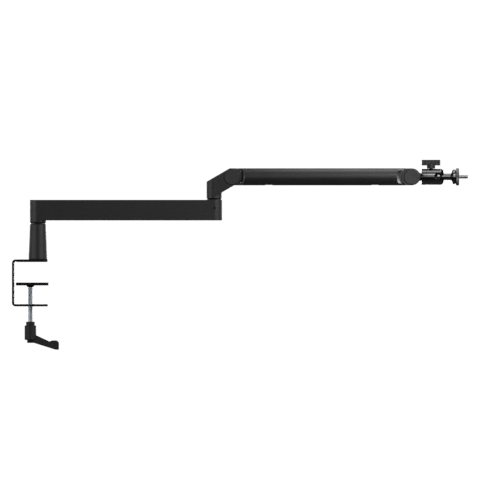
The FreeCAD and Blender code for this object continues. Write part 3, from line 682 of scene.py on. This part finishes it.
def lower_arm():
    """The hollow arm with a collar on the riser, the elbow's bores and the tension screw's hole."""
    edge, wall, roof = 0.8 * mm, 2.5 * mm, 3.0 * mm
    collar_height, collar_break, lip, lip_rise = 5.35 * mm, 2.0 * mm, 0.4 * mm, 0.1 * mm
    step, step_height = 0.2 * mm, 0.6 * mm
    channel_start, channel_end = 22.0 * mm, 279.2 * mm
    spindle, spindle_depth = 7.0 * mm, 30.35 * mm
    bearing, bearing_floor, bearing_depth = 9.0 * mm, 9.0 * mm, 40.0 * mm
    web_hole, web_depth, pocket, pocket_depth = 5.1 * mm, 20.0 * mm, 8.0 * mm, 7.0 * mm
    hole, hole_height, hole_break, break_depth = 2.55 * mm, 92.0 * mm, 0.5 * mm, 0.4 * mm
    inset = 0.1 * mm
    low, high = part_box("lower_arm_body")
    half, base = high.y, low.z + collar_height
    piece = round_ended("lower_arm_cast", low.x, high.x, half, base, high.z - base)
    soften(piece, edge, segments=3)
    collar = solid([(0.0, half - collar_break), (lip, half - collar_break + lip_rise),
                    (collar_break, half - step), (collar_break + step_height, half),
                    (collar_height + 2 * over, half)])
    weld_on(piece, lathe("collar", collar, UP * low.z, UP, arm_steps))
    channel = round_ended("channel", channel_start, channel_end, half - wall, base - over,
                          high.z - base - roof + over)
    below = elbow_axis + UP * base - UP * over
    bearing_start = elbow_axis + UP * (base + bearing_floor)
    hole_start = elbow_axis + UP * hole_height
    hole_edge = solid([(-inset, hole - inset), (hole_break, hole + hole_break),
                       (over, hole + hole_break)])
    cut_away(piece, channel, bar("spindle_bore", spindle, UP * (low.z - over), UP, spindle_depth),
             bar("elbow_bore", bearing, bearing_start, UP, bearing_depth),
             bar("web_hole", web_hole, below, UP, web_depth),
             bar("pocket", pocket, below, UP, pocket_depth),
             bar("tension_hole", hole, hole_start, FRONT, half + over, small_steps),
             lathe("hole_edge", hole_edge, hole_start + FRONT * (half - break_depth), FRONT,
                   small_steps))
    stands_for(piece, "lower_arm_body")


# Tilting joints

# Shared by both hinges: the cheeks' half width, the fork's reach and gap, the tongue and the caps
cheek, fork_end, fork_gap = 13.5 * mm, 18.3 * mm, 7.0 * mm
tongue_end, cap_rim = 10.5 * mm, 13.2 * mm
slot_depth, knuckle_edge = 9.0 * mm, 0.5 * mm


def arc(centre, radius, first, last, count):
    """Points on a round about a hinge, seen from the front, between two angles in degrees."""
    turns = [math.radians(turn) for turn in sweep(first, last, count)]
    return [centre + ALONG * radius * math.cos(turn) + UP * radius * math.sin(turn)
            for turn in turns]


def fork_room(hinge, way, upper_depth, lower_depth):
    """A tongue's room between two cheeks, with a round end; above and below it opens at a depth."""
    far, back, turn = 30.0 * mm, 0.0, -1.0
    if way == ALONG:
        back, turn = 180.0, 1.0
    first = back - turn * math.degrees(math.acos(upper_depth / tongue_end))
    last = back + turn * math.degrees(math.acos(lower_depth / tongue_end))
    outline = [hinge - way * upper_depth + UP * far]
    outline += arc(hinge, tongue_end, first, last, count=32)
    outline += [hinge - way * lower_depth + DOWN * far,
                hinge + way * far + DOWN * far, hinge + way * far + UP * far]
    return prism("fork_room", [spot + FRONT * fork_gap for spot in outline], REAR * 2 * fork_gap)


def cap_recesses(hinge):
    """The bolt's hole and recesses, and a narrow groove round each cap."""
    bolt, recess, recess_depth = 4.1 * mm, 7.5 * mm, 4.0 * mm
    inner, outer, depth = cap_rim - 0.15 * mm, cap_rim + 0.6 * mm, 1.2 * mm
    groove = closed([(-depth, inner), (-depth, outer), (over, outer), (over, inner)])
    rooms = [bar("bolt_hole", bolt, hinge + FRONT * 2 * cheek, REAR, 4 * cheek)]
    for side in BOTH_SIDES:
        floor = hinge + side * (cheek - recess_depth)
        rooms.append(bar("bolt_recess", recess, floor, side, 2 * recess_depth))
        rooms.append(lathe("cap_groove", groove, hinge + side * cheek, side, fine_steps))
    return rooms


def fork_bevels(hinge):
    """What the round bevels at the open end of the elbow fork take away."""
    far, start, start_radius = 22.0 * mm, 9.4 * mm, fork_end + 0.3 * mm
    end, end_radius = cheek + 0.2 * mm, 15.4 * mm
    profile = closed([(start, start_radius), (end, end_radius), (far, end_radius), (far, far),
                      (start, far)])
    rings = []
    for side in BOTH_SIDES:
        ring = lathe("fork_bevel", profile, hinge, side, fine_steps)
        slice_off(ring, hinge, ALONG, outer=False)
        rings.append(ring)
    return rings


def elbow_knuckle():
    """A round post with a slanted neck that ends in a level fork."""
    post, foot_break, lean, half = 13.2 * mm, 2.0 * mm, math.radians(30.0), 14.5 * mm
    lower_slot_depth, socket, socket_depth = 0.1 * mm, 7.0 * mm, 19.0 * mm
    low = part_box("elbow_knuckle")[0]
    across = Vector((-math.sin(lean), 0.0, math.cos(lean))) * half
    upper, lower = elbow_hinge + across, elbow_hinge - across
    clip = math.degrees(math.asin(half / fork_end))
    level = math.tan(lean / 2) * half
    post_reach = 2 * (elbow_hinge.z - low.z)

    def over_post(spot):
        return elbow_axis + UP * (spot.z + (elbow_axis.x - spot.x) * math.tan(lean))

    outline = [over_post(upper), elbow_hinge + UP * half - ALONG * level]
    outline += arc(elbow_hinge, fork_end, clip, -clip, count=24)
    outline += [elbow_hinge - UP * half + ALONG * level, over_post(lower)]
    piece = prism("elbow_knuckle_cast", [spot + FRONT * cheek for spot in outline],
                  REAR * 2 * cheek)
    soften(piece, knuckle_edge, segments=3)
    profile = solid([(0.0, post - foot_break), (foot_break, post), (post_reach, post)])
    column = lathe("knuckle_post", profile, elbow_axis + UP * low.z, UP, fine_steps)
    slice_off(column, upper, across, outer=True)
    soften(column, knuckle_edge, segments=3, sharper_than=50)
    weld_on(piece, column)
    socket_start = elbow_axis + UP * (low.z - over)
    cut_away(piece, fork_room(elbow_hinge, ALONG, slot_depth, lower_slot_depth),
             *cap_recesses(elbow_hinge), *fork_bevels(elbow_hinge),
             bar("spindle_socket", socket, socket_start, UP, socket_depth))
    stands_for(piece, "elbow_knuckle")


def head_knuckle():
    """A fork with a round nose and a boss for the ball head's stud."""
    nose, boss, boss_start, boss_break = 14.4 * mm, 7.0 * mm, 9.0 * mm, 0.4 * mm
    stud, stud_reach = 4.8 * mm, 30.0 * mm
    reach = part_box("head_knuckle")[1].x - head_hinge.x
    clip = math.degrees(math.asin(nose / fork_end))
    outline = arc(head_hinge, nose, 90.0, -90.0, count=48)
    outline += arc(head_hinge, fork_end, 180.0 + clip, 180.0 - clip, count=24)
    piece = prism("head_knuckle_cast", [spot + FRONT * cheek for spot in outline],
                  REAR * 2 * cheek)
    soften(piece, knuckle_edge, segments=3)
    profile = solid([(boss_start, boss), (reach - boss_break, boss), (reach, boss - boss_break)])
    weld_on(piece, lathe("nose_boss", profile, head_hinge, ALONG))
    cut_away(piece, fork_room(head_hinge, -ALONG, slot_depth, slot_depth),
             *cap_recesses(head_hinge), bar("stud_hole", stud, head_hinge, ALONG, stud_reach))
    stands_for(piece, "head_knuckle")


def hinge_caps():
    """Round covers with a soft rim and a faintly sunk face, alike at both sides of both hinges."""
    thick, spigot, spigot_length, sink = 1.2 * mm, 7.4 * mm, 0.8 * mm, 0.15 * mm
    rim_break, face_edge, sunk_edge = 0.6 * mm, 1.6 * mm, 2.2 * mm
    straight_share, round_share = 0.5, 0.8
    profile = solid([(-spigot_length, spigot), (0.0, spigot), (0.0, cap_rim),
                     (straight_share * thick, cap_rim), (round_share * thick, cap_rim - sink),
                     (thick, cap_rim - rim_break), (thick, cap_rim - face_edge),
                     (thick - sink, cap_rim - sunk_edge)])
    first = lathe("hinge_cap", profile, elbow_hinge + FRONT * cheek, FRONT, fine_steps)
    for name, hinge in (("elbow", elbow_hinge), ("head", head_hinge)):
        for side, turn in (("front", 0.0), ("rear", math.pi)):
            alone(first)
            bpy.ops.object.duplicate()
            cap = bpy.context.active_object
            cap.name = f"{name}_cap_{side}_moulded"
            bpy.ops.object.mode_set(mode="EDIT")
            bpy.ops.mesh.select_all(action="SELECT")
            bpy.ops.transform.rotate(value=turn, orient_axis="Z", center_override=elbow_hinge)
            bpy.ops.transform.translate(value=hinge - elbow_hinge)
            bpy.ops.object.mode_set(mode="OBJECT")
            stands_for(cap, f"{name}_cap_{side}")
    bpy.data.objects.remove(first)


def arm_insert(node, hinge, way, collar, hollow):
    """The plug of a tube end: a collar hollowed at both sides, and the tongue in the fork."""
    tube, plug, plug_start, plug_end = 14.6 * mm, 12.35 * mm, 10.0 * mm, 53.0 * mm
    tongue, rise, tongue_reach, eye, bolt = 6.1 * mm, 8.5 * mm, 38.0 * mm, 9.0 * mm, 4.05 * mm
    hinge_room, far = 18.4 * mm, 30.0 * mm
    front = hinge + FRONT * far
    piece = bar(node + "_turned", tube, hinge, way, collar + over, arm_steps)
    combine(piece, bar("collar_round", collar, front, REAR, 2 * far, most_steps), "INTERSECT")
    weld_on(piece, bar("plug", plug, hinge + way * plug_start, way, plug_end - plug_start,
                       turned_steps))
    section = solid([(depth * mm, radius * mm) for depth, radius in hollow] + [(far, far)])
    cut_away(piece, bar("hinge_room", hinge_room, front, REAR, 2 * far, most_steps),
             *[lathe("hollow", section, hinge, side, most_steps) for side in BOTH_SIDES])
    near = hinge + FRONT * tongue
    sides = [near + UP * rise, near + UP * rise + way * tongue_reach,
             near + DOWN * rise + way * tongue_reach, near + DOWN * rise]
    weld_on(piece, prism("tongue", sides, REAR * 2 * tongue),
            bar("tongue_eye", eye, near, REAR, 2 * tongue))
    cut_away(piece, bar("bolt_hole", bolt, front, REAR, 2 * far, small_steps))
    stands_for(piece, node)


# Each hollow as (depth from the middle, distance from the hinge), in mm
elbow_hollow = [(7.8, 18.0), (9.4, 21.6)]
head_hollow = [(9.8, 20.2), (8.6, 20.6), (10.2, 25.8)]

riser_post()
lower_arm()
elbow_knuckle()
head_knuckle()
hinge_caps()
arm_insert("elbow_insert", elbow_hinge, ALONG, collar=21.5 * mm, hollow=elbow_hollow)
arm_insert("head_insert", head_hinge, -ALONG, collar=25.7 * mm, hollow=head_hollow)


# Ball head

def on_axis(x):
    """A point on the ball head's axis."""
    return Vector((x, 0.0, ball_centre.z))


def round_profile(radius, turns):
    """Points of a round for a turned piece, as (along the axis, out from it)."""
    return [(radius * math.cos(turn), radius * math.sin(turn)) for turn in turns]


def ball_base():
    bore, joint_break = 4.8 * mm, 0.25 * mm
    low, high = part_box("ball_base")
    length, body = high.x - low.x, high.y
    profile = closed([(0.0, bore)] + rising(0.0, body, size=1.0 * mm, mid=0.3 * mm)
                     + [(length - joint_break, body), (length, body - joint_break), (length, bore)])
    stands_for(lathe("ball_base_turned", profile, on_axis(low.x), ALONG, fine_steps), "ball_base")


def ball_housing():
    """A domed sleeve around the ball, with a notch in front for the stem."""
    dome, joint_break, knob_bore = 6.0 * mm, 0.25 * mm, 3.05 * mm
    room, mouth, notch = 9.6 * mm, 8.0 * mm, 6.15 * mm
    low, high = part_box("ball_housing")
    length, body = high.x - low.x, high.y
    depth, bore, opening = 2 * body, math.radians(99.0), math.asin(mouth / room)
    shoulder = [(length - dome + dome * math.sin(turn), body - dome + dome * math.cos(turn))
                for turn in sweep(0.0, math.pi / 2, count=6)]
    profile = solid([(0.0, body - joint_break), (joint_break, body)] + shoulder)
    piece = lathe("ball_housing_turned", profile, on_axis(low.x), ALONG, fine_steps)
    inside = solid([(low.x - over - ball_centre.x, room * math.sin(bore))]
                   + round_profile(room, sweep(bore, opening, count=20)) + [(depth, mouth)])
    far = ball_centre + ALONG * depth
    slot = arc(ball_centre, notch, 90.0, 270.0, count=32)
    slot += [far + DOWN * notch, far + UP * notch]
    knob_low, knob_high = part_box("ball_knob")
    knob_spot = on_axis((knob_low.x + knob_high.x) / 2)
    cut_away(piece, lathe("ball_room", inside, ball_centre, ALONG, fine_steps),
             prism("notch", slot, FRONT * depth),
             bar("knob_bore", knob_bore, knob_spot, UP, depth, least_steps))
    stands_for(piece, "ball_housing")


def ball_knob():
    """A cross bar with upright ribs along its long sides, on a round stem."""
    bar_height, half_deep, end, edge = 9.6 * mm, 5.5 * mm, 2.0 * mm, 0.5 * mm
    ribs, groove, steps_each = 5, 1.0 * mm, 12
    stem, stem_break, bore, bore_depth = 7.15 * mm, 0.4 * mm, 3.0 * mm, 9.0 * mm
    corner_in, corner_back = 0.6 * mm, 0.5 * mm
    low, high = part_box("ball_knob")
    bar_low = high.z - bar_height
    middle, half_bar = (low.x + high.x) / 2, (high.x - low.x) / 2
    straight, steps = half_bar - end, ribs * steps_each
    front = []
    for i in range(steps + 1):
        wave = groove * (0.5 - 0.5 * math.cos(2 * math.pi * ribs * i / steps))
        front.append((-straight + 2 * straight * i / steps, -half_deep + wave))
    corner = [(half_bar - corner_in, corner_back - half_deep), (half_bar, end - half_deep)]
    half_plan = front + corner + [(x, -y) for x, y in reversed(corner)]
    plan = half_plan + [(-x, -y) for x, y in half_plan]
    piece = prism("ball_knob_moulded", [Vector((middle + x, y, bar_low)) for x, y in plan],
                  UP * (high.z - bar_low))
    soften(piece, edge, segments=3, sharper_than=60)
    profile = solid([(0.0, stem - stem_break), (stem_break, stem),
                     (bar_low - low.z + 2 * over, stem)])
    weld_on(piece, lathe("knob_stem", profile, Vector((middle, 0.0, low.z)), UP))
    bore_start = Vector((middle, 0.0, low.z - over))
    cut_away(piece, bar("screw_bore", bore, bore_start, UP, bore_depth, least_steps))
    stands_for(piece, "ball_knob")


def ball_stud():
    """A ball with a stem that flares to a flange, bored for the microphone thread."""
    ball, stem, bore = 9.5 * mm, 5.5 * mm, 3.0 * mm
    # Where the flare and the flange start, and (along, out) steps from there, in mm
    flare, flange_start = 706.0 * mm - ball_centre.x, 709.0 * mm - ball_centre.x
    flare_steps = [(-1.0, 0.0), (0.0, 0.25), (0.8, 1.4)]
    flange_steps = [(-0.3, -0.7), (0.4, -0.1), (1.0, 0.0)]
    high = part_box("ball_stud")[1]
    flange, end = high.y, high.x - ball_centre.x
    profile = round_profile(ball, sweep(math.pi, math.asin(stem / ball), count=40))
    profile += [(flare + along * mm, stem + out * mm) for along, out in flare_steps]
    profile += [(flange_start + along * mm, flange + out * mm) for along, out in flange_steps]
    profile += falling(end, flange, size=0.8 * mm, mid=0.25 * mm)
    profile += [(end, bore), (flare, bore), (flare, 0.0)]
    stands_for(lathe("ball_stud_turned", profile, ball_centre, ALONG, fine_steps), "ball_stud")


def stud_screw():
    """A 1/4 inch thread with a broken tip."""
    outer, pitch, depth, start, tip = 3.175 * mm, 1.27 * mm, 0.6 * mm, 708.0 * mm, 0.7 * mm
    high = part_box("stud_screw")[1]
    piece = thread("stud_screw_threaded", outer, outer - depth, pitch, on_axis(start), ALONG,
                   high.x - start)
    profile = closed([(0.0, outer + over), (0.0, outer), (tip, outer - tip), (over, outer - tip),
                      (over, outer + over)])
    cut_away(piece, lathe("tip_break", profile, on_axis(high.x - tip), ALONG, bar_steps))
    stands_for(piece, "stud_screw")


def lock_disc():
    """A disc with a finely knurled rim."""
    teeth, tooth_depth, edge, bore, bore_depth = 90, 0.3 * mm, 0.7 * mm, 3.3 * mm, 10.0 * mm
    low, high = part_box("lock_disc")
    rim, centre = high.y, on_axis(low.x)
    corners = []
    for i in range(2 * teeth):
        turn = math.pi * i / teeth
        radius = rim - (tooth_depth if i % 2 else 0.0)
        corners.append(centre + REAR * radius * math.cos(turn) + UP * radius * math.sin(turn))
    piece = prism("lock_disc_knurled", corners, ALONG * (high.x - low.x))
    profile = closed([(-over, rim - edge), (0.0, rim - edge), (edge + over, rim + over),
                      (-over, rim + over)])
    for side, way in ((low.x, ALONG), (high.x, -ALONG)):
        cut_away(piece, lathe("rim_break", profile, on_axis(side), way, fine_steps))
    cut_away(piece, bar("disc_bore", bore, on_axis(low.x - over), ALONG, bore_depth, small_steps))
    stands_for(piece, "lock_disc")


ball_base()
ball_housing()
ball_knob()
ball_stud()
stud_screw()
lock_disc()


# Floor, backdrop, light and camera

white = (1.0, 1.0, 1.0, 1.0)
floor_height, wall_radius, wall_top = -1.65, 21.0, 2.4
ambient_level = 0.08
paint_roughness, paint_specular = 0.9, 0.1


def pale_paint(name, tone, straight, mirrored):
    """A matte paint that shows at one share of white seen straight, and at another mirrored."""
    paint = bpy.data.materials.new(name)
    paint.use_nodes = True
    tree = paint.node_tree
    shader = tree.nodes["Principled BSDF"]
    shader.inputs["Base Color"].default_value = (tone, tone, tone, 1.0)
    shader.inputs["Roughness"].default_value = paint_roughness
    shader.inputs["Specular IOR Level"].default_value = paint_specular
    rays = tree.nodes.new("ShaderNodeLightPath")
    seen = add_math(tree, "MULTIPLY", rays.outputs["Is Camera Ray"], straight)
    other = add_math(tree, "MAXIMUM", rays.outputs["Is Glossy Ray"],
                     rays.outputs["Is Transmission Ray"])
    strength = add_math(tree, "MAXIMUM", seen, add_math(tree, "MULTIPLY", other, mirrored))
    shader.inputs["Emission Color"].default_value = white
    tree.links.new(strength, shader.inputs["Emission Strength"])
    return paint


def studio_circle(name, fill, paint):
    """A wide circle on the floor's height, below the object's middle."""
    bpy.ops.object.select_all(action="DESELECT")
    bpy.ops.mesh.primitive_circle_add(vertices=fine_steps, radius=wall_radius, fill_type=fill,
                                      location=(photo_centre.x, 0.0, floor_height))
    circle = bpy.context.active_object
    circle.name = name
    circle.data.materials.append(paint)
    return circle


floor = studio_circle("studio_floor", "NGON",
                      pale_paint("floor_paint", tone=0.4, straight=0.85, mirrored=0.0))

wall = studio_circle("studio_backdrop", "NOTHING",
                     pale_paint("backdrop_paint", tone=0.85, straight=1.0, mirrored=1.0))
bpy.ops.object.mode_set(mode="EDIT")
bpy.ops.mesh.select_all(action="SELECT")
bpy.ops.mesh.extrude_region_move(
    TRANSFORM_OT_translate={"value": UP * (wall_top - floor_height)})
bpy.ops.mesh.select_all(action="SELECT")
bpy.ops.mesh.normals_make_consistent(inside=True)
bpy.ops.object.mode_set(mode="OBJECT")

world = bpy.data.worlds.new("studio")
bpy.context.scene.world = world
world.use_nodes = True
ambient = world.node_tree.nodes["Background"]
ambient.inputs["Color"].default_value = white
ambient.inputs["Strength"].default_value = ambient_level


def soft_box(name, place, aim, width, tall, level):
    """A flat studio lamp that faces a point on the arm; its level is the white of its own face."""
    lamp = bpy.data.lights.new(name, "AREA")
    lamp.shape = "RECTANGLE"
    lamp.size = width
    lamp.size_y = tall
    lamp.energy = level * math.pi * width * tall
    obj = bpy.data.objects.new(name, lamp)
    obj.location = place
    obj.rotation_euler = (Vector(aim) - Vector(place)).to_track_quat("-Z", "Y").to_euler()
    bpy.context.scene.collection.objects.link(obj)


# Name, place, aim, width, height and level
for lamp_row in (
        ("overhead_panel", (0.64, 0.06, 0.8), (0.64, 0.0, 0.14), 0.46, 0.7, 3.6),
        ("key_strip", (1.02, -0.74, 0.78), (0.69, 0.0, 0.14), 0.85, 0.34, 7.5),
        ("front_box", (1.0, -0.95, 0.4), (0.7, 0.0, 0.14), 0.75, 0.3, 2.8),
        ("band_box", (1.0, -1.75, 0.6), (0.0, 0.0, 0.05), 0.5, 1.0, 3.0),
        ("right_box", (0.98, -0.45, 0.45), (0.6, 0.0, 0.12), 0.3, 0.45, 8.0),
        ("left_box", (-1.15, -0.75, 0.35), (0.0, 0.0, 0.05), 1.6, 1.1, 1.6),
        ("back_box", (0.35, 1.5, 0.1), (0.35, 0.0, 0.08), 1.8, 0.4, 4.5)):
    soft_box(*lamp_row)

camera = bpy.data.objects.new("camera", bpy.data.cameras.new("camera"))
camera.data.lens = lens_mm
camera.data.sensor_width = sensor_mm
camera.data.clip_end = camera_reach
camera.location = photo_centre + FRONT * photo_width * lens_mm / sensor_mm
camera.rotation_euler = REAR.to_track_quat("-Z", "Y").to_euler()
bpy.context.scene.collection.objects.link(camera)
bpy.context.scene.camera = camera
bpy.context.scene.view_settings.view_transform = "Standard"
